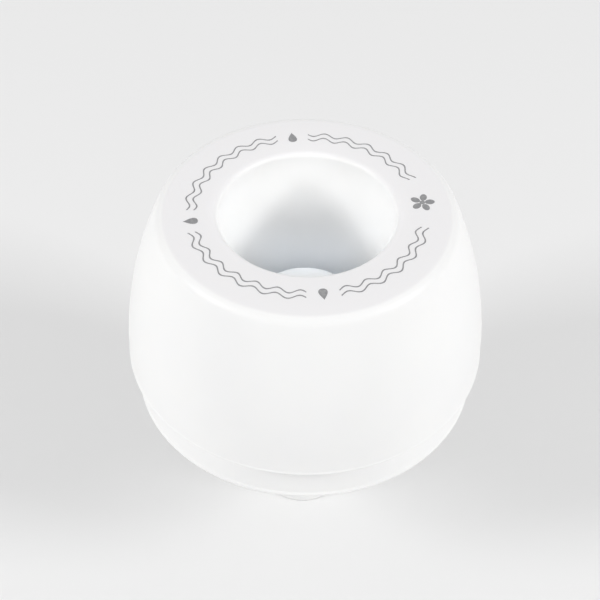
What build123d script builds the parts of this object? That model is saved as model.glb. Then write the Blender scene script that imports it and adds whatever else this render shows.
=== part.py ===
"""Fabric softener dispenser for the top of a washing machine's agitator post.

Three moulded pieces on one axis, the Z axis. The dispenser stands on its drain stem, with Z = 0
at the stem's lower end. Softener poured through the throat lies in the inner cup. As the post
spins, the liquid climbs the cup's flared wall into the chamber around it, and when the post
stops, it runs down the sloped floor and out through the stem.
"""

import os
from math import asin, degrees, radians, sqrt, tan

from build123d import *

# Drain stem
stem_radius = 15.5
stem_wall = 2.2
stem_length = 65.8  # from the stem's lower end up to the spigot's lower edge
stem_tip_length = 30.0  # the straight part that enters the post
stem_draft_angle = 1.0  # of the stem above its straight tip, in degrees
stem_edge_round = 0.7

# Spigot band, which fits inside the post's upper rim
spigot_radius = 64.6
spigot_height = 16.6  # from its lower edge up to the barrel's overhang
spigot_wall = 2.4
spigot_edge_round = 1.7
lap_height = 8.0  # of the base's rim inside the barrel's skirt
lap_taper_angle = 5.0  # degrees; the rim narrows upwards and centres the skirt

# Chamber floor of the base
floor_thickness = 2.4
floor_recess = 3.4  # height of the floor's underside above the spigot's lower edge, at the rim
floor_slope_angle = 11.0  # degrees, down towards the stem
floor_corner_round = 1.6
gusset_count = 4
gusset_thickness = 2.0
gusset_depth = 26.0  # below the spigot's lower edge, at the stem
gusset_rim_gap = 1.2  # between the gusset's outer end and the spigot's lower edge

# Barrel shell
overhang = 2.9  # of the barrel's lower edge beyond the spigot
barrel_sweep_radius = 166.0  # of the barrel's curved side
barrel_height = 66.0  # from the overhang to the flat top
barrel_wall = 3.0
barrel_edge_round = 0.8
shoulder_width = 1.2  # the ledge inside the skirt that the base's rim meets
shoulder_blend_height = 15.0
top_thickness = 2.8
top_edge_round = 4.6
inner_corner_round = 2.0

# Throat below the fill opening
throat_radius = 32.0  # at the flat top, before the lip is rounded
throat_draft_angle = 1.5  # degrees, narrowing downwards
throat_wall = 2.2
throat_dip = 28.0  # depth of the throat's mouth below the cup's rim
lip_round = 2.0

# Inner cup
cup_wall = 2.0
cup_foot_height = 9.0  # above the spigot's lower edge
dome_radius = 27.0
dome_centre_rise = 8.1  # of the dome's centre above the cup's foot
valley_width = 11.0  # between the dome and the foot of the flared wall
valley_round = 2.5
cup_depth = 42.0  # from the foot to the rim
cup_flare_angle = 12.0  # degrees from the vertical

# Ribs that carry the cup
rest_count = 4
rest_thickness = 2.2
rest_ledge = 8.0  # length of rib under the cup's foot
stop_height = 4.0  # of the ribs' locating ends inside the cup's hollow
stop_length = 6.0

# Clearances
joint_clearance = 0.1  # between the base's rim and the barrel's skirt
cup_clearance = 0.2  # between the cup's hollow and the ribs' locating ends

# Heights worked out from the sizes above
spigot_bottom = stem_length
barrel_bottom = spigot_bottom + spigot_height
rim_top = barrel_bottom + lap_height
top_height = barrel_bottom + barrel_height
cup_foot = spigot_bottom + cup_foot_height
cup_rim = cup_foot + cup_depth
dome_centre = cup_foot + dome_centre_rise
throat_mouth = cup_rim - throat_dip

# Radii worked out from the sizes above
stem_bore = stem_radius - stem_wall
spigot_bore = spigot_radius - spigot_wall
lap_radius = spigot_radius - lap_height * tan(radians(lap_taper_angle))
skirt_mouth = spigot_radius + joint_clearance
skirt_bore = lap_radius + joint_clearance
shoulder_radius = skirt_bore - shoulder_width
belly_radius = spigot_radius + overhang
hollow_radius = dome_radius - cup_wall
cup_foot_radius = dome_radius + valley_width
cup_flare = cup_depth * tan(radians(cup_flare_angle))
cup_rim_radius = cup_foot_radius + cup_flare


def barrel_radius(height, inset=0.0):
    """Radius of the barrel's side, or of a surface set in from it, at a height."""
    sweep = barrel_sweep_radius - inset
    return belly_radius - barrel_sweep_radius + sqrt(sweep**2 - (height - barrel_bottom) ** 2)


def throat_side(height, inset=0.0):
    """Radius of the throat's tapered wall at a height."""
    return throat_radius - (top_height - height) * tan(radians(throat_draft_angle)) + inset


def floor_height(radius, drop=0.0):
    """Height of the chamber floor's underside at a radius."""
    rise = (spigot_bore - radius) * tan(radians(floor_slope_angle))
    return spigot_bottom + floor_recess - rise - drop


def nearest(corners, radius, height):
    """The profile's corner at a radius and height."""
    return corners.sort_by_distance((radius, height))[0]


os.makedirs("parts", exist_ok=True)

# Shell: barrel, flat top and throat as one turned profile
inner_sweep = barrel_sweep_radius - barrel_wall
ceiling = top_height - top_thickness
blend_top = rim_top + shoulder_blend_height
side_turn = degrees(asin((top_height - barrel_bottom) / barrel_sweep_radius))
blend_turn = degrees(asin((blend_top - barrel_bottom) / inner_sweep))
ceiling_turn = degrees(asin((ceiling - barrel_bottom) / inner_sweep))
sweep_centre = (belly_radius - barrel_sweep_radius, barrel_bottom)
with BuildPart() as dispenser_shell:
    with BuildSketch(Plane.XZ) as shell_profile:
        with BuildLine():
            side = CenterArc(sweep_centre, barrel_sweep_radius, 0, side_turn)
            inside = CenterArc(sweep_centre, inner_sweep, blend_turn, ceiling_turn - blend_turn)
            Polyline(
                side @ 1,
                (throat_radius, top_height),
                (throat_side(throat_mouth), throat_mouth),
                (throat_side(throat_mouth, throat_wall), throat_mouth),
                (throat_side(ceiling, throat_wall), ceiling),
                inside @ 1,
            )
            Polyline(
                inside @ 0,
                (shoulder_radius, rim_top),
                (skirt_bore, rim_top),
                (skirt_mouth, barrel_bottom),
                side @ 0,
            )
        make_face()
        corners = shell_profile.vertices()
        fillet(nearest(corners, barrel_radius(top_height), top_height), top_edge_round)
        fillet(nearest(corners, throat_radius, top_height), lip_round)
        fillet(nearest(corners, belly_radius, barrel_bottom), barrel_edge_round)
        fillet(nearest(corners, barrel_radius(ceiling, barrel_wall), ceiling), inner_corner_round)
        fillet(nearest(corners, throat_side(ceiling, throat_wall), ceiling), inner_corner_round)
    revolve(axis=Axis.Z)
dispenser_shell.part.label = "dispenser_shell"
export_step(dispenser_shell.part, "parts/dispenser_shell.step")

# Cup: a domed middle, a valley round it and a flared wall, one wall thickness throughout
valley_floor = cup_foot + cup_wall
with BuildPart() as dispensing_cup:
    with BuildSketch(Plane.XZ) as cup_profile:
        with BuildLine():
            dome = CenterArc((0, dome_centre), dome_radius, 90, -90)
            hollow = CenterArc((0, dome_centre), hollow_radius, 90, -90)
            Polyline(
                dome @ 1,
                (dome_radius, valley_floor),
                (cup_foot_radius, valley_floor),
                (cup_rim_radius, cup_rim),
                (cup_rim_radius + cup_wall, cup_rim),
                (cup_foot_radius + cup_wall, cup_foot),
                (hollow_radius, cup_foot),
                hollow @ 1,
            )
            Line(hollow @ 0, dome @ 0)
        make_face()
        corners = cup_profile.vertices()
        fillet(nearest(corners, dome_radius, valley_floor), valley_round)
        fillet(nearest(corners, cup_foot_radius, valley_floor), valley_round)
        fillet(nearest(corners, cup_foot_radius + cup_wall, cup_foot), cup_wall / 2)
        rim_corners = [
            nearest(corners, cup_rim_radius, cup_rim),
            nearest(corners, cup_rim_radius + cup_wall, cup_rim),
        ]
        fillet(rim_corners, cup_wall / 3)
    revolve(axis=Axis.Z)
dispensing_cup.part.label = "dispensing_cup"
export_step(dispensing_cup.part, "parts/dispensing_cup.step")

# Gusset: stiffens the floor between the stem and the spigot, on the underside
gusset_inner = stem_radius - stem_wall / 2
gusset_outer = spigot_radius - spigot_wall / 2
with BuildPart() as gusset:
    with BuildSketch(Plane.XZ):
        with BuildLine():
            Polyline(
                (gusset_inner, spigot_bottom - gusset_depth),
                (gusset_outer, spigot_bottom + gusset_rim_gap),
                (gusset_outer, floor_height(gusset_outer, -floor_thickness / 2)),
                (gusset_inner, floor_height(gusset_inner, -floor_thickness / 2)),
                close=True,
            )
        make_face()
    extrude(amount=gusset_thickness / 2, both=True)

# Rest: stands on the floor, with a ledge under the cup's foot and an end inside its hollow
stop_outer = hollow_radius - cup_clearance
stop_inner = stop_outer - stop_length
rest_outer = hollow_radius + rest_ledge
with BuildPart() as rest:
    with BuildSketch(Plane.XZ):
        with BuildLine():
            Polyline(
                (stop_inner, floor_height(stop_inner, -floor_thickness / 2)),
                (rest_outer, floor_height(rest_outer, -floor_thickness / 2)),
                (rest_outer, cup_foot),
                (stop_outer, cup_foot),
                (stop_outer, cup_foot + stop_height),
                (stop_inner, cup_foot + stop_height),
                close=True,
            )
        make_face()
    extrude(amount=rest_thickness / 2, both=True)

# Base: spigot, sloped floor and stem as one turned profile, with the ribs above and below
stem_top = floor_height(stem_radius)
stem_spread = (stem_top - stem_tip_length) * tan(radians(stem_draft_angle))
stem_root = stem_radius + stem_spread
with BuildPart() as drain_base:
    with BuildSketch(Plane.XZ) as base_profile:
        with BuildLine():
            Polyline(
                (stem_bore, 0),
                (stem_radius, 0),
                (stem_radius, stem_tip_length),
                (stem_root, floor_height(stem_root)),
                (spigot_bore, floor_height(spigot_bore)),
                (spigot_bore, spigot_bottom),
                (spigot_radius, spigot_bottom),
                (spigot_radius, barrel_bottom),
                (lap_radius, rim_top),
                (spigot_bore, rim_top),
                (spigot_bore, floor_height(spigot_bore, -floor_thickness)),
                (stem_bore, floor_height(stem_bore, -floor_thickness)),
                close=True,
            )
        make_face()
        corners = base_profile.vertices()
        fillet(nearest(corners, spigot_radius, spigot_bottom), spigot_edge_round)
        fillet(nearest(corners, stem_radius, 0), stem_edge_round)
        fillet(nearest(corners, stem_root, floor_height(stem_root)), floor_corner_round)
        floor_rim = floor_height(spigot_bore, -floor_thickness)
        fillet(nearest(corners, spigot_bore, floor_rim), floor_corner_round)
        floor_drain = floor_height(stem_bore, -floor_thickness)
        fillet(nearest(corners, stem_bore, floor_drain), floor_corner_round)
    revolve(axis=Axis.Z)
    with PolarLocations(0, gusset_count, start_angle=180 / gusset_count):
        add(gusset.part)
    with PolarLocations(0, rest_count):
        add(rest.part)
drain_base.part.label = "drain_base"
export_step(drain_base.part, "parts/drain_base.step")
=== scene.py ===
import math

import bmesh
import bpy
from mathutils import Matrix, Vector


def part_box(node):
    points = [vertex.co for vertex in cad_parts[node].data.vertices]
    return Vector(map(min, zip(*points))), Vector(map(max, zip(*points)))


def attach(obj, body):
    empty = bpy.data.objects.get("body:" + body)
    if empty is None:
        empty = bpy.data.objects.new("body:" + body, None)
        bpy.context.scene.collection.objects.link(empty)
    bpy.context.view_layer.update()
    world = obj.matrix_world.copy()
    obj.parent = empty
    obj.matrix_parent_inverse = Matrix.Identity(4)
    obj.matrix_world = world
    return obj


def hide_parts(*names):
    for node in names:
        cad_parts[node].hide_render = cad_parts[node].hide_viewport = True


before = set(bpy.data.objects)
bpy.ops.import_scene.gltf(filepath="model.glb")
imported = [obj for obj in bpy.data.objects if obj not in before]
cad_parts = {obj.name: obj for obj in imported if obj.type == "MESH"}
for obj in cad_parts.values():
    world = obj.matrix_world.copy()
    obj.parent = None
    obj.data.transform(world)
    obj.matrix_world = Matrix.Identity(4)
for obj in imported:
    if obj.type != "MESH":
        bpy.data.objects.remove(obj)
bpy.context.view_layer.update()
mm = 0.001
print("frame loaded:", ", ".join(sorted(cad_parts)))


# Small helpers for modelling in edit mode

bench = {
    "mergeDistance": 0.002,  # points closer than this become one
    "ringTolerance": 0.02,  # how far a ring's points may lie from its radius and height
}


def clearSelection():
    if bpy.context.object and bpy.context.object.mode != "OBJECT":
        bpy.ops.object.mode_set(mode="OBJECT")
    bpy.ops.object.select_all(action="DESELECT")


def closePiece(smoothAngle):
    bpy.ops.object.mode_set(mode="OBJECT")
    bpy.ops.object.shade_smooth_by_angle(angle=math.radians(smoothAngle))


def turnAboutAxis(angle):
    bpy.ops.transform.rotate(value=angle, orient_axis="Z", center_override=(0, 0, 0))


def turnProfile(name, rings, around, closed):
    # a circle is drawn out ring by ring along the profile; each ring is (radius, height) in mm
    radius, height = rings[0]
    clearSelection()
    bpy.ops.mesh.primitive_circle_add(vertices=around, radius=radius * mm, enter_editmode=True)
    piece = bpy.context.object
    piece.name = piece.data.name = name
    bpy.ops.transform.translate(value=(0, 0, height * mm))
    for newRadius, newHeight in rings[1:] + (rings[:1] if closed else []):
        lift = (0, 0, (newHeight - height) * mm)
        bpy.ops.mesh.extrude_region_move(TRANSFORM_OT_translate={"value": lift})
        spread = newRadius / radius
        bpy.ops.transform.resize(value=(spread, spread, 1), center_override=(0, 0, newHeight * mm))
        radius, height = newRadius, newHeight
    bpy.ops.mesh.select_all(action="SELECT")
    bpy.ops.mesh.remove_doubles(threshold=bench["mergeDistance"] * mm)
    bpy.ops.mesh.normals_make_consistent(inside=False)
    bpy.ops.mesh.select_all(action="DESELECT")
    return piece


def liesOnRing(point, radius, height):
    near = bench["ringTolerance"] * mm
    return abs(point.co.xy.length - radius * mm) < near and abs(point.co.z - height * mm) < near


def roundRings(piece, rounds):
    # bevels the edge loop that lies at each ring's radius and height, by a size in mm
    bpy.ops.mesh.select_mode(type="EDGE")
    for (radius, height), size, steps in rounds:
        bpy.ops.mesh.select_all(action="DESELECT")
        mesh = bmesh.from_edit_mesh(piece.data)
        for edge in mesh.edges:
            edge.select = all(liesOnRing(point, radius, height) for point in edge.verts)
        bmesh.update_edit_mesh(piece.data)
        bpy.ops.mesh.bevel(offset_type="OFFSET", offset=size * mm, segments=steps, affect="EDGES")


def drawRibs(name, outline, thickness, count, firstTurn, edgeRound, edgeSteps):
    # one point is drawn along the rib's outline on XZ, filled, thickened and copied round the axis
    clearSelection()
    bpy.ops.mesh.primitive_plane_add(size=mm, enter_editmode=True)
    piece = bpy.context.object
    piece.name = piece.data.name = name
    bpy.ops.mesh.select_mode(type="VERT")
    bpy.ops.mesh.merge(type="CENTER")
    corners = [Vector((radius, -thickness / 2, height)) * mm for radius, height in outline]
    bpy.ops.transform.translate(value=corners[0])
    for corner, nextCorner in zip(corners, corners[1:]):
        bpy.ops.mesh.extrude_vertices_move(TRANSFORM_OT_translate={"value": nextCorner - corner})
    bpy.ops.mesh.select_all(action="SELECT")
    bpy.ops.mesh.edge_face_add()
    bpy.ops.mesh.extrude_region_move(TRANSFORM_OT_translate={"value": (0, thickness * mm, 0)})
    bpy.ops.mesh.select_all(action="SELECT")
    bpy.ops.mesh.normals_make_consistent(inside=False)
    bpy.ops.mesh.bevel(offset=edgeRound * mm, segments=edgeSteps, affect="EDGES")
    bpy.ops.mesh.select_all(action="SELECT")
    turnAboutAxis(firstTurn)
    for _ in range(count - 1):
        bpy.ops.mesh.duplicate()
        turnAboutAxis(2 * math.pi / count)
    bpy.ops.object.mode_set(mode="OBJECT")
    return piece


def fuseRibs(piece, ribs):
    clearSelection()
    bpy.context.view_layer.objects.active = piece
    piece.select_set(True)
    union = piece.modifiers.new("ribs", "BOOLEAN")
    union.operation = "UNION"
    union.solver = "EXACT"
    union.object = ribs
    bpy.ops.object.modifier_apply(modifier=union.name)
    bpy.data.objects.remove(ribs)


def seat(piece, node=None):
    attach(piece, "root")
    if node:
        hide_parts(node)


# Heights in mm that the frame gives

shellBottom, shellTop = (corner.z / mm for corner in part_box("dispenser_shell"))
cupFoot, cupRim = (corner.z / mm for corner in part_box("dispensing_cup"))
baseBottom, baseRim = (corner.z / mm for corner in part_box("drain_base"))


# Shell: barrel, flat top and throat in one moulding

shell = {
    "around": 192,
    "bellyRadius": 67.5,
    "bellyRound": 0.8,
    "bellySteps": 4,
    "sweepRadius": 166.0,  # of the barrel's curved side
    "sideRings": 14,
    "wall": 3.0,
    "topThickness": 2.8,
    "topRound": 4.6,
    "topSteps": 8,
    "beadHeight": 1.1,  # of the bead along the belly's lower edge
    "beadDepth": 0.25,
    "beadStep": 0.6,
    "beadRound": 0.2,
    "beadRings": 2,  # lowest rings of the side that the bead takes the place of
    "throatRadius": 32.0,
    "throatWall": 2.2,
    "throatDraft": 1.5,  # degrees, narrowing downwards
    "lipRound": 2.0,
    "lipSteps": 6,
    "mouthDip": 28.0,  # of the throat's mouth below the cup's rim
    "mouthRound": 0.6,
    "skirtMouth": 64.7,
    "skirtBore": 64.0,  # at the top of the tapered skirt
    "shoulderWidth": 1.2,
    "blendHeight": 15.0,
    "innerRound": 2.0,
    "innerSteps": 3,
    "fineSteps": 2,  # of the beads' and the mouth's rounds
    "smoothAngle": 32,
}


def sweepRings(firstTurn, lastTurn, inset):
    # rings along the barrel's curved side, or along a face set in from it
    count = shell["sideRings"]
    reach = shell["sweepRadius"] - inset
    centre = shell["bellyRadius"] - shell["sweepRadius"]
    turns = [firstTurn + (lastTurn - firstTurn) * step / count for step in range(count + 1)]
    return [(centre + reach * math.cos(turn), shellBottom + reach * math.sin(turn)) for turn in turns]


def throatWallAt(height):
    return shell["throatRadius"] - (shellTop - height) * math.tan(math.radians(shell["throatDraft"]))


def modelShell():
    size = shell
    ceiling = shellTop - size["topThickness"]
    mouth = cupRim - size["mouthDip"]
    shoulder = size["skirtBore"] - size["shoulderWidth"]
    blendTop = baseRim + size["blendHeight"]
    innerReach = size["sweepRadius"] - size["wall"]
    sideTurn = math.asin((shellTop - shellBottom) / size["sweepRadius"])
    ceilingTurn = math.asin((ceiling - shellBottom) / innerReach)
    blendTurn = math.asin((blendTop - shellBottom) / innerReach)
    side = sweepRings(0, sideTurn, 0)
    inside = sweepRings(ceilingTurn, blendTurn, size["wall"])
    lip = (size["throatRadius"], shellTop)
    ceilingCorner = (throatWallAt(ceiling) + size["throatWall"], ceiling)
    mouthIn = (throatWallAt(mouth), mouth)
    mouthOut = (throatWallAt(mouth) + size["throatWall"], mouth)
    bead = (size["bellyRadius"], shellBottom + size["beadHeight"])
    groove = (size["bellyRadius"] - size["beadDepth"], bead[1] + size["beadStep"])
    rings = [(size["skirtMouth"], shellBottom), side[0], bead, groove]
    rings += side[size["beadRings"]:]
    rings += [lip, mouthIn, mouthOut, ceilingCorner]
    rings += inside
    rings += [(shoulder, baseRim), (size["skirtBore"], baseRim)]
    piece = turnProfile("dispenserShell", rings, size["around"], closed=True)

    # tangent length of a round in a corner that isn't square
    topOffset = size["topRound"] / math.tan((math.pi / 2 + sideTurn) / 2)
    lipOffset = size["lipRound"] / math.tan((math.pi / 2 + math.radians(size["throatDraft"])) / 2)
    roundRings(piece, [
        (side[-1], topOffset, size["topSteps"]),
        (lip, lipOffset, size["lipSteps"]),
        (side[0], size["bellyRound"], size["bellySteps"]),
        (bead, size["beadRound"], size["fineSteps"]),
        (groove, size["beadRound"], size["fineSteps"]),
        (inside[0], size["innerRound"], size["innerSteps"]),
        (ceilingCorner, size["innerRound"], size["innerSteps"]),
        (mouthIn, size["mouthRound"], size["fineSteps"]),
        (mouthOut, size["mouthRound"], size["fineSteps"]),
    ])
    closePiece(size["smoothAngle"])
    seat(piece, "dispenser_shell")
    print("shell modelled:", len(piece.data.polygons), "faces")
    return piece


# Cup: domed middle, valley and flared wall

cup = {
    "around": 160,
    "wall": 2.0,
    "domeRadius": 27.0,
    "domeRise": 8.1,  # of the dome's centre above the foot
    "domeRings": 16,
    "poleRadius": 0.4,  # of the small ring that closes the dome
    "valleyWidth": 11.0,
    "valleyRound": 2.5,
    "valleySteps": 4,
    "flareAngle": 12.0,  # degrees from the vertical
    "rimRound": 0.66,
    "footRound": 1.0,
    "edgeSteps": 3,  # of the rim's and the foot's rounds
    "smoothAngle": 35,
}


def domeRings(reach, centre):
    # rings from the dome's pole down to its widest place
    count = cup["domeRings"]
    first = math.asin(cup["poleRadius"] / reach)
    turns = [first + (math.pi / 2 - first) * step / count for step in range(count + 1)]
    return [(reach * math.sin(turn), centre + reach * math.cos(turn)) for turn in turns]


def modelCup():
    size = cup
    centre = cupFoot + size["domeRise"]
    hollow = size["domeRadius"] - size["wall"]
    floor = cupFoot + size["wall"]
    footRadius = size["domeRadius"] + size["valleyWidth"]
    rimRadius = footRadius + (cupRim - cupFoot) * math.tan(math.radians(size["flareAngle"]))
    domeFoot = (size["domeRadius"], floor)
    valleyOut = (footRadius, floor)
    rimIn = (rimRadius, cupRim)
    rimOut = (rimRadius + size["wall"], cupRim)
    footOut = (footRadius + size["wall"], cupFoot)
    rings = domeRings(size["domeRadius"], centre)
    rings += [domeFoot, valleyOut, rimIn, rimOut, footOut, (hollow, cupFoot)]
    rings += domeRings(hollow, centre)[::-1]
    piece = turnProfile("dispensingCup", rings, size["around"], closed=False)
    bpy.ops.mesh.select_mode(type="EDGE")
    bpy.ops.mesh.select_non_manifold(extend=False, use_boundary=True)
    bpy.ops.mesh.edge_face_add()  # caps over both poles
    bpy.ops.mesh.select_all(action="SELECT")
    bpy.ops.mesh.normals_make_consistent(inside=False)
    roundRings(piece, [
        (domeFoot, size["valleyRound"], size["valleySteps"]),
        (valleyOut, size["valleyRound"], size["valleySteps"]),
        (rimIn, size["rimRound"], size["edgeSteps"]),
        (rimOut, size["rimRound"], size["edgeSteps"]),
        (footOut, size["footRound"], size["edgeSteps"]),
    ])
    closePiece(size["smoothAngle"])
    seat(piece, "dispensing_cup")
    print("cup modelled:", len(piece.data.polygons), "faces")
    return piece


# Base: spigot band, sloped floor, drain stem and ribs

base = {
    "around": 192,
    "stemRadius": 15.5,
    "stemWall": 2.2,
    "stemLength": 65.8,  # up to the spigot's lower edge
    "tipLength": 30.0,  # of the stem's straight end
    "draftAngle": 1.0,  # degrees, of the stem above that end
    "stemRound": 0.7,
    "spigotRadius": 64.6,
    "spigotWall": 2.4,
    "spigotRound": 1.7,
    "spigotSteps": 6,
    "beadHeight": 2.0,  # of the bead along the spigot's lower edge
    "beadDepth": 0.45,
    "beadStep": 0.9,
    "beadRound": 0.2,
    "lapTaper": 5.0,  # degrees, of the rim inside the skirt
    "floorThickness": 2.4,
    "floorRecess": 3.4,  # of the floor's underside above the spigot's lower edge, at the rim
    "floorSlope": 11.0,  # degrees, down towards the stem
    "floorRound": 1.6,
    "edgeSteps": 4,  # of the floor's and the stem's rounds
    "gussetCount": 4,
    "gussetThickness": 2.0,
    "gussetDepth": 26.0,  # below the spigot's lower edge, at the stem
    "gussetRimGap": 1.2,
    "restCount": 4,
    "restThickness": 2.2,
    "restLedge": 8.0,  # length of rib under the cup's foot
    "stopHeight": 4.0,  # of the rests' ends inside the cup's hollow
    "stopLength": 6.0,
    "stopGap": 0.2,
    "ribRound": 0.3,
    "fineSteps": 2,  # of the beads' and the ribs' rounds
    "smoothAngle": 32,
}


def floorUnder(radius):
    bandBore = base["spigotRadius"] - base["spigotWall"]
    drop = (bandBore - radius) * math.tan(math.radians(base["floorSlope"]))
    return base["stemLength"] + base["floorRecess"] - drop


def floorMiddle(radius):
    return floorUnder(radius) + base["floorThickness"] / 2


def turnBase():
    size = base
    bore = size["stemRadius"] - size["stemWall"]
    bandBore = size["spigotRadius"] - size["spigotWall"]
    lapNarrowing = (baseRim - shellBottom) * math.tan(math.radians(size["lapTaper"]))
    draftLength = floorUnder(size["stemRadius"]) - size["tipLength"]
    root = size["stemRadius"] + draftLength * math.tan(math.radians(size["draftAngle"]))
    boreEnd = (bore, baseBottom)
    tip = (size["stemRadius"], baseBottom)
    stemRoot = (root, floorUnder(root))
    bandInside = (bandBore, size["stemLength"])
    bandFoot = (size["spigotRadius"], size["stemLength"])
    bead = (size["spigotRadius"], size["stemLength"] + size["beadHeight"])
    groove = (size["spigotRadius"] - size["beadDepth"], bead[1] + size["beadStep"])
    floorRim = (bandBore, floorUnder(bandBore) + size["floorThickness"])
    drain = (bore, floorUnder(bore) + size["floorThickness"])
    rings = [
        boreEnd,
        tip,
        (size["stemRadius"], size["tipLength"]),
        stemRoot,
        (bandBore, floorUnder(bandBore)),
        bandInside,
        bandFoot,
        bead,
        groove,
        (size["spigotRadius"], shellBottom),
        (size["spigotRadius"] - lapNarrowing, baseRim),
        (bandBore, baseRim),
        floorRim,
        drain,
    ]
    piece = turnProfile("drainBase", rings, size["around"], closed=True)
    roundRings(piece, [
        (bandFoot, size["spigotRound"], size["spigotSteps"]),
        (bead, size["beadRound"], size["fineSteps"]),
        (groove, size["beadRound"], size["fineSteps"]),
        (tip, size["stemRound"], size["edgeSteps"]),
        (boreEnd, size["ribRound"], size["fineSteps"]),
        (stemRoot, size["floorRound"], size["edgeSteps"]),
        (floorRim, size["floorRound"], size["edgeSteps"]),
        (drain, size["floorRound"], size["edgeSteps"]),
        (bandInside, size["ribRound"], size["fineSteps"]),
    ])
    return piece


def drawGussets():
    size = base
    innerEnd = size["stemRadius"] - size["stemWall"] / 2
    outerEnd = size["spigotRadius"] - size["spigotWall"] / 2
    outline = [
        (innerEnd, size["stemLength"] - size["gussetDepth"]),
        (outerEnd, size["stemLength"] + size["gussetRimGap"]),
        (outerEnd, floorMiddle(outerEnd)),
        (innerEnd, floorMiddle(innerEnd)),
    ]
    count = size["gussetCount"]
    halfway = math.pi / count  # between the rests
    return drawRibs(
        "gussets", outline, size["gussetThickness"], count, halfway, size["ribRound"], size["fineSteps"]
    )


def drawRests():
    size = base
    hollow = cup["domeRadius"] - cup["wall"]
    stopOuter = hollow - size["stopGap"]
    stopInner = stopOuter - size["stopLength"]
    restOuter = hollow + size["restLedge"]
    outline = [
        (stopInner, floorMiddle(stopInner)),
        (restOuter, floorMiddle(restOuter)),
        (restOuter, cupFoot),
        (stopOuter, cupFoot),
        (stopOuter, cupFoot + size["stopHeight"]),
        (stopInner, cupFoot + size["stopHeight"]),
    ]
    return drawRibs(
        "rests", outline, size["restThickness"], size["restCount"], 0, size["ribRound"], size["fineSteps"]
    )


def modelBase():
    piece = turnBase()
    fuseRibs(piece, drawGussets())
    fuseRibs(piece, drawRests())
    closePiece(base["smoothAngle"])
    seat(piece, "drain_base")
    print("base modelled:", len(piece.data.polygons), "faces")
    return piece


# Grey print on the flat top: waves of water, a softener flower and drops

legend = {
    "bandRadius": 41.8,
    "inkHeight": 0.03,
    "waveRows": (-1.3, 1.3),  # from the band's radius
    "waveWidth": 0.55,
    "waveSwing": 0.95,
    "waveCount": 32,  # in a full turn
    "waveSteps": 1440,
    "waveArcs": ((26, 90), (106, 180), (196, 270), (286, 350)),  # degrees from +X
    "flowerTurn": 8.0,
    "flowerPetals": 5,
    "flowerHeart": 1.0,
    "petalLength": 1.75,
    "petalWidth": 1.25,
    "petalReach": 2.75,
    "petalSteps": 40,
    "dropTurns": (98.0, 188.0, 278.0),
    "dropLength": 5.4,
    "dropWidth": 1.75,
    "dropTaper": 0.75,  # how fast it narrows to the tip
    "dropFullness": 1.3,  # makes up for the width that the taper takes
    "dropSteps": 56,
}


def liftInk():
    bpy.ops.mesh.select_all(action="SELECT")
    bpy.ops.mesh.extrude_region_move(
        TRANSFORM_OT_translate={"value": (0, 0, legend["inkHeight"] * mm)}
    )
    bpy.ops.mesh.select_all(action="SELECT")
    bpy.ops.mesh.normals_make_consistent(inside=False)
    bpy.ops.object.mode_set(mode="OBJECT")


def placeInk(turn):
    bpy.ops.transform.translate(value=(legend["bandRadius"] * mm, 0, shellTop * mm))
    turnAboutAxis(-math.radians(turn))


def inkWave(number, offset):
    mark = legend
    clearSelection()
    inner = mark["bandRadius"] + offset - mark["waveWidth"] / 2
    bpy.ops.mesh.primitive_circle_add(
        vertices=mark["waveSteps"], radius=inner * mm, enter_editmode=True
    )
    piece = bpy.context.object
    piece.name = piece.data.name = "inkWaves%d" % number
    bpy.ops.transform.translate(value=(0, 0, shellTop * mm))
    bpy.ops.mesh.extrude_region_move()
    wider = (inner + mark["waveWidth"]) / inner
    bpy.ops.transform.resize(value=(wider, wider, 1), center_override=(0, 0, shellTop * mm))
    mesh = bmesh.from_edit_mesh(piece.data)
    for point in mesh.verts:
        turn = math.atan2(point.co.y, point.co.x)
        swing = mark["waveSwing"] * mm * math.sin(mark["waveCount"] * turn)
        point.co.xy += point.co.xy.normalized() * swing
    for face in mesh.faces:
        middle = face.calc_center_median()
        turn = math.degrees(math.atan2(middle.y, middle.x)) % 360
        face.select = not any(low < turn < high for low, high in mark["waveArcs"])
    bmesh.update_edit_mesh(piece.data)
    bpy.ops.mesh.select_mode(type="FACE")
    bpy.ops.mesh.delete(type="FACE")
    bpy.ops.mesh.select_mode(type="VERT")
    liftInk()
    return piece


def inkFlower():
    mark = legend
    clearSelection()
    bpy.ops.mesh.primitive_circle_add(
        vertices=mark["petalSteps"], radius=mark["petalWidth"] * mm, fill_type="NGON", enter_editmode=True
    )
    piece = bpy.context.object
    piece.name = piece.data.name = "inkFlower"
    bpy.ops.transform.resize(value=(mark["petalLength"] / mark["petalWidth"], 1, 1))
    bpy.ops.transform.translate(value=(mark["petalReach"] * mm, 0, 0))
    for _ in range(mark["flowerPetals"] - 1):
        bpy.ops.mesh.duplicate()
        turnAboutAxis(2 * math.pi / mark["flowerPetals"])
    bpy.ops.mesh.primitive_circle_add(
        vertices=mark["petalSteps"], radius=mark["flowerHeart"] * mm, fill_type="NGON"
    )
    bpy.ops.mesh.select_all(action="SELECT")
    placeInk(mark["flowerTurn"])
    liftInk()
    return piece


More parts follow.
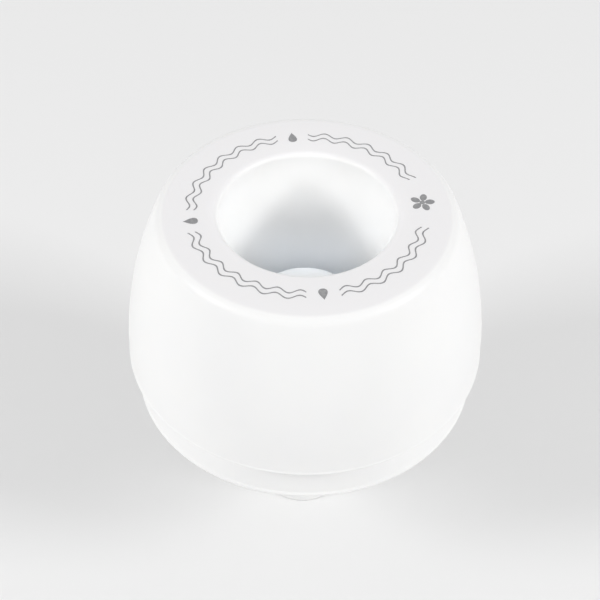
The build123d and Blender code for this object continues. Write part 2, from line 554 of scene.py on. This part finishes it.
def inkDrop(number, turn):
    mark = legend
    clearSelection()
    bpy.ops.mesh.primitive_circle_add(
        vertices=mark["dropSteps"], radius=mark["dropWidth"] * mm, fill_type="NGON", enter_editmode=True
    )
    piece = bpy.context.object
    piece.name = piece.data.name = "inkDrop%d" % number
    mesh = bmesh.from_edit_mesh(piece.data)
    for point in mesh.verts:
        angle = math.atan2(point.co.y, point.co.x)
        taper = math.sin(angle / 2) ** 2  # 0 at the tip, which points outwards, 1 at the round end
        fullness = mark["dropFullness"] * taper ** mark["dropTaper"]
        point.co.x = mark["dropLength"] / 2 * math.cos(angle) * mm
        point.co.y = mark["dropWidth"] * fullness * math.sin(angle) * mm
    bmesh.update_edit_mesh(piece.data)
    placeInk(turn)
    liftInk()
    return piece


# Materials

def toLinear(hexColour):
    # red, green and blue by the sRGB curve, then full opacity
    parts = [int(hexColour[place:place + 2], 16) / 255 for place in (1, 3, 5)]
    return [part / 12.92 if part <= 0.04045 else ((part + 0.055) / 1.055) ** 2.4 for part in parts] + [1.0]


def addNode(tree, kind, settings=None, links=None):
    node = tree.nodes.new(kind)
    for name, value in (settings or {}).items():
        if name in node.inputs:
            node.inputs[name].default_value = value
        else:
            setattr(node, name, value)
    for name, source in (links or {}).items():
        tree.links.new(source, node.inputs[name])
    return node


def newMaterial(name):
    material = bpy.data.materials.new(name)
    material.use_nodes = True
    tree = material.node_tree
    tree.nodes.clear()
    return material, tree


def perMetre(sizeInMm):
    return 1 / (sizeInMm * mm)  # noise scale for a feature of this size


# Injection-moulded polypropylene: a milky white with a waxy satin skin, fine spark-eroded grain
# and a broad faint waviness where thick and thin places shrank differently. The upward-facing top
# gets a painted shade, a little greyer as if less lit, up to where its edges turn down
polypropylene = {
    "white": "#F8F8F7",
    "shade": "#F5F5F5",
    "shadeSize": 38.0,
    "shadeDetail": 2.0,
    "shadeRamp": (0.3, 0.7),
    # painted shade: a greyer white for the upward-facing top, standing in for less light there
    "topShadeGrey": "#F0EFF0",
    "edgeFacing": 0.92,  # upward share of the normal where the painted top shade ends at the outer edge
    "lipFacing": 0.4,  # and at the lip, which the painted shade runs over
    "lipReach": 45.0,  # radius within which the lip's share holds
    "lipBlend": 0.1,  # share of that radius in which one limit passes into the other
    "grainSize": 0.55,  # real grain is about 0.1 mm, drawn coarser so that it shows
    "grainDepth": 0.006,
    "grainDetail": 3.0,
    "grainRoughness": 0.6,
    "sinkSize": 24.0,
    "sinkDepth": 0.05,
    "sinkDetail": 1.0,
    "sheenRamp": (0.3, 0.7),
    "roughLow": 0.36,
    "roughHigh": 0.48,
    "ior": 1.49,
    "scatterShare": 0.12,
    "scatterDepth": 1.6,
    "scatterTint": (1.0, 0.95, 0.9),
}


def mouldedPolypropylene(name, paintTopShade):
    look = polypropylene
    material, tree = newMaterial(name)
    place = addNode(tree, "ShaderNodeTexCoord").outputs
    broad = addNode(
        tree, "ShaderNodeTexNoise",
        {"Scale": perMetre(look["shadeSize"]), "Detail": look["shadeDetail"]},
        {"Vector": place["Object"]},
    )
    tint = addNode(tree, "ShaderNodeValToRGB", links={"Fac": broad.outputs["Fac"]})
    for stop, position, tone in zip(tint.color_ramp.elements, look["shadeRamp"], ("shade", "white")):
        stop.position = position
        stop.color = toLinear(look[tone])
    colour = tint.outputs["Color"]
    # painted shade: upward-facing faces and the lip's round are mixed towards the greyer top colour
    if paintTopShade:
        facing = addNode(tree, "ShaderNodeSeparateXYZ", links={"Vector": place["Normal"]})
        flatPlace = addNode(
            tree, "ShaderNodeMapping",
            {"Scale": (perMetre(look["lipReach"]), perMetre(look["lipReach"]), 0)},
            {"Vector": place["Object"]},
        )
        inward = addNode(
            tree, "ShaderNodeTexGradient", {"gradient_type": "SPHERICAL"},
            {"Vector": flatPlace.outputs["Vector"]},
        )
        limit = addNode(
            tree, "ShaderNodeMapRange",
            {"From Max": look["lipBlend"], "To Min": look["edgeFacing"], "To Max": look["lipFacing"]},
            {"Value": inward.outputs["Fac"]},
        )
        flat = addNode(
            tree, "ShaderNodeMapRange", {"interpolation_type": "SMOOTHSTEP"},
            {"Value": facing.outputs["Z"], "From Min": limit.outputs["Result"]},
        )
        blend = addNode(
            tree, "ShaderNodeMixRGB", {"Color2": toLinear(look["topShadeGrey"])},
            {"Fac": flat.outputs["Result"], "Color1": colour},
        )
        colour = blend.outputs["Color"]
    grain = addNode(
        tree, "ShaderNodeTexNoise",
        {
            "Scale": perMetre(look["grainSize"]),
            "Detail": look["grainDetail"],
            "Roughness": look["grainRoughness"],
        },
        {"Vector": place["Object"]},
    )
    sink = addNode(
        tree, "ShaderNodeTexNoise",
        {"Scale": perMetre(look["sinkSize"]), "Detail": look["sinkDetail"]},
        {"Vector": place["Object"]},
    )
    sheenLow, sheenHigh = look["sheenRamp"]
    sheen = addNode(
        tree, "ShaderNodeMapRange",
        {
            "From Min": sheenLow,
            "From Max": sheenHigh,
            "To Min": look["roughLow"],
            "To Max": look["roughHigh"],
        },
        {"Value": grain.outputs["Fac"]},
    )
    wavy = addNode(
        tree, "ShaderNodeBump", {"Distance": look["sinkDepth"] * mm}, {"Height": sink.outputs["Fac"]}
    )
    skin = addNode(
        tree, "ShaderNodeBump", {"Distance": look["grainDepth"] * mm},
        {"Height": grain.outputs["Fac"], "Normal": wavy.outputs["Normal"]},
    )
    surface = addNode(
        tree, "ShaderNodeBsdfPrincipled",
        {
            "IOR": look["ior"],
            "Subsurface Weight": look["scatterShare"],
            "Subsurface Radius": look["scatterTint"],
            "Subsurface Scale": look["scatterDepth"] * mm,
        },
        {
            "Base Color": colour,
            "Roughness": sheen.outputs["Result"],
            "Normal": skin.outputs["Normal"],
        },
    )
    addNode(tree, "ShaderNodeOutputMaterial", links={"Surface": surface.outputs["BSDF"]})
    return material


# Pad-printed ink: flat grey, a little patchy where the pad let go
printInk = {
    "grey": "#8E8E90",
    "worn": "#A2A2A3",
    "patchSize": 1.2,
    "patchDetail": 4.0,
    "patchRamp": (0.45, 0.75),
    "roughness": 0.55,
}


def paddedInk():
    look = printInk
    material, tree = newMaterial("pad-printed grey ink")
    place = addNode(tree, "ShaderNodeTexCoord").outputs
    patch = addNode(
        tree, "ShaderNodeTexNoise",
        {"Scale": perMetre(look["patchSize"]), "Detail": look["patchDetail"]},
        {"Vector": place["Object"]},
    )
    tint = addNode(tree, "ShaderNodeValToRGB", links={"Fac": patch.outputs["Fac"]})
    for stop, position, tone in zip(tint.color_ramp.elements, look["patchRamp"], ("grey", "worn")):
        stop.position = position
        stop.color = toLinear(look[tone])
    surface = addNode(
        tree, "ShaderNodeBsdfPrincipled", {"Roughness": look["roughness"]},
        {"Base Color": tint.outputs["Color"]},
    )
    addNode(tree, "ShaderNodeOutputMaterial", links={"Surface": surface.outputs["BSDF"]})
    return material


shellPiece = modelShell()
cupPiece = modelCup()
basePiece = modelBase()
inkPieces = [inkWave(number, offset) for number, offset in enumerate(legend["waveRows"], 1)]
inkPieces += [inkFlower()]
inkPieces += [inkDrop(number, turn) for number, turn in enumerate(legend["dropTurns"], 1)]
print("print modelled:", len(inkPieces), "pieces")

# the shell's upward-facing top and lip get the painted shade
shellPiece.data.materials.append(mouldedPolypropylene("moulded polypropylene, painted top shade", True))
satin = mouldedPolypropylene("satin moulded polypropylene", False)
cupPiece.data.materials.append(satin)
basePiece.data.materials.append(satin)
ink = paddedInk()
for piece in inkPieces:
    piece.data.materials.append(ink)
    seat(piece)
print("materials done")


# Studio: pale floor, two softboxes, an even surround and narrow spots into the throat

studio = {
    "floorColour": "#EDEDED",
    "floorSize": 8.0,  # metres
    "floorRoughness": 0.8,
    "floorSheen": 0.1,
    "worldColour": "#FFFFFF",
    "worldStrength": 0.64,
    "boxDistance": 3000.0,
    "boxSize": 900.0,
    "boxElevation": 32.0,
    "boxTurns": (-71.0, 71.0),  # degrees from the camera's side, left and right
    "boxPowers": (30.5, 32.0),
    "boxAim": (0.0, 100.0),  # forward and up from the origin
    "spotDistance": 1300.0,
}

# Narrow lamps that reach the throat through its opening. Reach is the lit circle's radius in the
# opening, widen stretches it sideways, and forward moves it towards the camera
throatSpots = {
    "spotLeft": {
        "turn": -71.0, "elevation": 32.0, "forward": 0.0, "reach": 16.0, "widen": 1.85,
        "blend": 0.3, "size": 6.0, "power": 12.0, "colour": "#FFFFFF",
    },
    "spotRight": {
        "turn": 71.0, "elevation": 32.0, "forward": 0.0, "reach": 16.0, "widen": 1.85,
        "blend": 0.3, "size": 6.0, "power": 13.0, "colour": "#FFFFFF",
    },
    "spotFill": {
        "turn": 0.0, "elevation": 62.0, "forward": -4.0, "reach": 16.0, "widen": 1.7,
        "blend": 0.6, "size": 6.0, "power": 12.0, "colour": "#DCE6F2",
    },
    "spotLow": {
        "turn": 0.0, "elevation": 65.0, "forward": -0.5, "reach": 9.0, "widen": 3.0,
        "blend": 1.0, "size": 4.0, "power": 50.0, "colour": "#DCE6F2",
    },
    "spotBack": {
        "turn": 0.0, "elevation": 26.0, "forward": -3.3, "reach": 16.5, "widen": 1.2,
        "blend": 1.0, "size": 6.0, "power": 14.0, "colour": "#FFFFFF",
    },
}


def hangLamp(name, kind, turn, elevation, aim, distance, power):
    turn, elevation = math.radians(turn), math.radians(elevation)
    forward, height = aim
    target = Vector((0, -forward, height))
    level = math.cos(elevation)
    away = Vector((math.sin(turn) * level, -math.cos(turn) * level, math.sin(elevation)))
    clearSelection()
    bpy.ops.object.light_add(type=kind, location=(target + away * distance) * mm)
    lamp = bpy.context.object
    lamp.name = name
    lamp.data.energy = power
    lamp.rotation_euler = (-away).to_track_quat("-Z", "Y").to_euler()
    return lamp


def hangBox(name, turn, power):
    box = hangLamp(
        name, "AREA", turn, studio["boxElevation"], studio["boxAim"], studio["boxDistance"], power
    )
    box.data.size = studio["boxSize"] * mm


def hangSpot(name, spot):
    distance = studio["spotDistance"]
    aim = (spot["forward"], shellTop)
    lamp = hangLamp(name, "SPOT", spot["turn"], spot["elevation"], aim, distance, spot["power"])
    lamp.data.spot_size = 2 * math.atan(spot["reach"] / distance)
    lamp.data.spot_blend = spot["blend"]
    lamp.data.shadow_soft_size = spot["size"] * mm
    lamp.data.color = toLinear(spot["colour"])[:3]
    lamp.scale = (spot["widen"], 1, 1)


def layFloor():
    clearSelection()
    bpy.ops.mesh.primitive_plane_add(size=studio["floorSize"], location=(0, 0, 0))
    floor = bpy.context.object
    floor.name = "floor"
    material, tree = newMaterial("pale lacquered board")
    surface = addNode(
        tree, "ShaderNodeBsdfPrincipled",
        {
            "Base Color": toLinear(studio["floorColour"]),
            "Roughness": studio["floorRoughness"],
            "Specular IOR Level": studio["floorSheen"],
        },
    )
    addNode(tree, "ShaderNodeOutputMaterial", links={"Surface": surface.outputs["BSDF"]})
    floor.data.materials.append(material)


def setLight():
    for side, turn, power in zip(("Left", "Right"), studio["boxTurns"], studio["boxPowers"]):
        hangBox("softbox" + side, turn, power)
    for name, spot in throatSpots.items():
        hangSpot(name, spot)
    world = bpy.data.worlds.new("surround")
    bpy.context.scene.world = world
    world.use_nodes = True
    tree = world.node_tree
    tree.nodes.clear()
    sky = addNode(
        tree, "ShaderNodeBackground",
        {"Color": toLinear(studio["worldColour"]), "Strength": studio["worldStrength"]},
    )
    addNode(tree, "ShaderNodeOutputWorld", links={"Surface": sky.outputs["Background"]})
    bpy.context.scene.view_settings.view_transform = "Standard"


# Camera at the photograph's angle

eye = {
    "distance": 600.0,
    "elevation": 45.37,
    "aimSide": -2.1,
    "aimHeight": 103.5,
    "lens": 95.46,
    "sensor": 36.0,
    "roll": 0.8,
}


def setCamera():
    elevation = math.radians(eye["elevation"])
    aim = Vector((eye["aimSide"], 0, eye["aimHeight"])) * mm
    away = Vector((0, -math.cos(elevation), math.sin(elevation)))
    clearSelection()
    bpy.ops.object.camera_add(location=aim + away * eye["distance"] * mm)
    camera = bpy.context.object
    camera.data.lens = eye["lens"]
    camera.data.sensor_width = eye["sensor"]
    look = (-away).to_track_quat("-Z", "Y").to_matrix()
    roll = Matrix.Rotation(math.radians(eye["roll"]), 3, "Z")
    camera.rotation_euler = (look @ roll).to_euler()
    bpy.context.scene.camera = camera


layFloor()
setLight()
setCamera()
print("studio and camera set")
